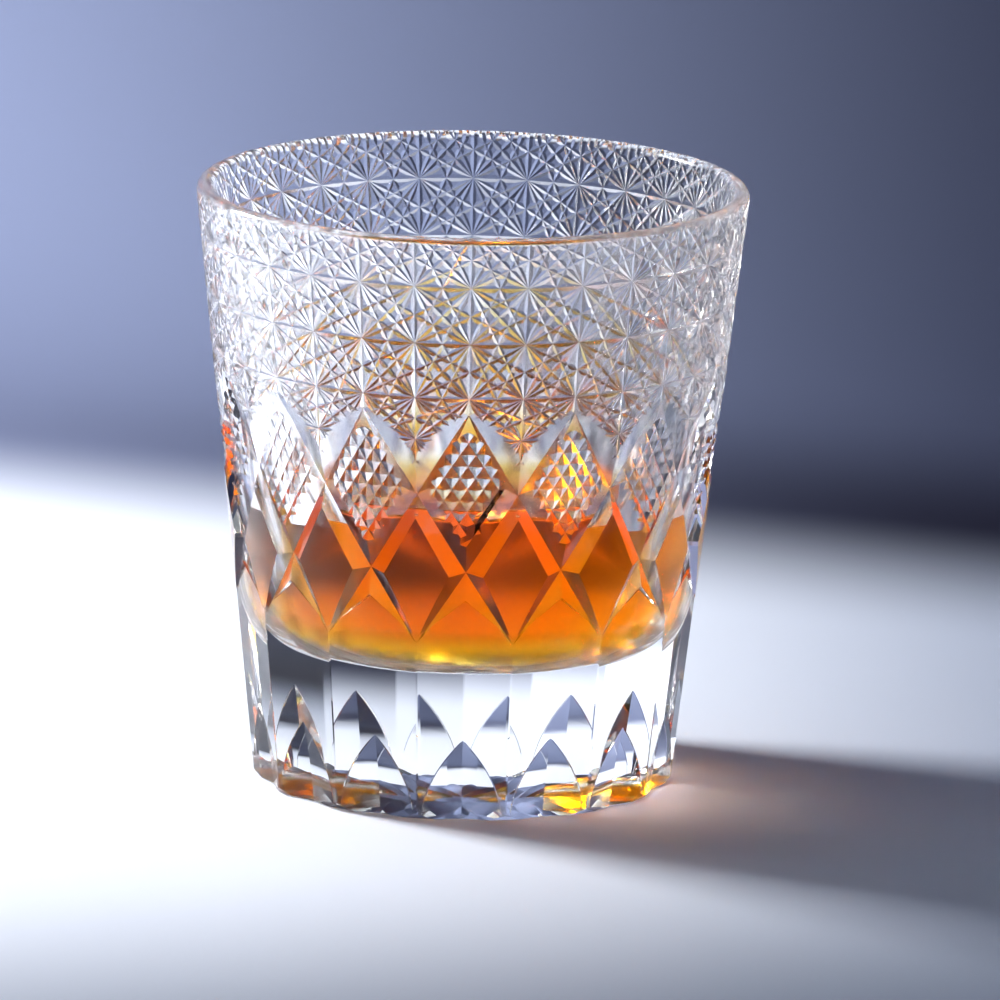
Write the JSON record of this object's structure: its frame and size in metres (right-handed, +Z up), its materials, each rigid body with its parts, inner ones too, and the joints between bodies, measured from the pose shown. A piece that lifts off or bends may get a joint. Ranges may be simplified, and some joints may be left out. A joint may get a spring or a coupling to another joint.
{
  "type": "whiskey tumbler",
  "caption": "Tapered cut-crystal tumbler with a thick foot, crossing mitre cuts, flat foot panels and a measure of whiskey inside.",
  "frame": {"origin": "centre of the flat foot, on the surface the tumbler stands on", "axes": "+Z up along the tumbler's axis to the rim; one foot panel and the diamond above it face -Y; +X to the right of that panel"},
  "size_m": [0.086, 0.086, 0.094],
  "materials": {
    "crystal": "polished",
    "whiskey": "gloss"
  },
  "bodies": {
    "root": {"glass_body": "crystal", "whiskey": "whiskey"}
  },
  "joints": []
}
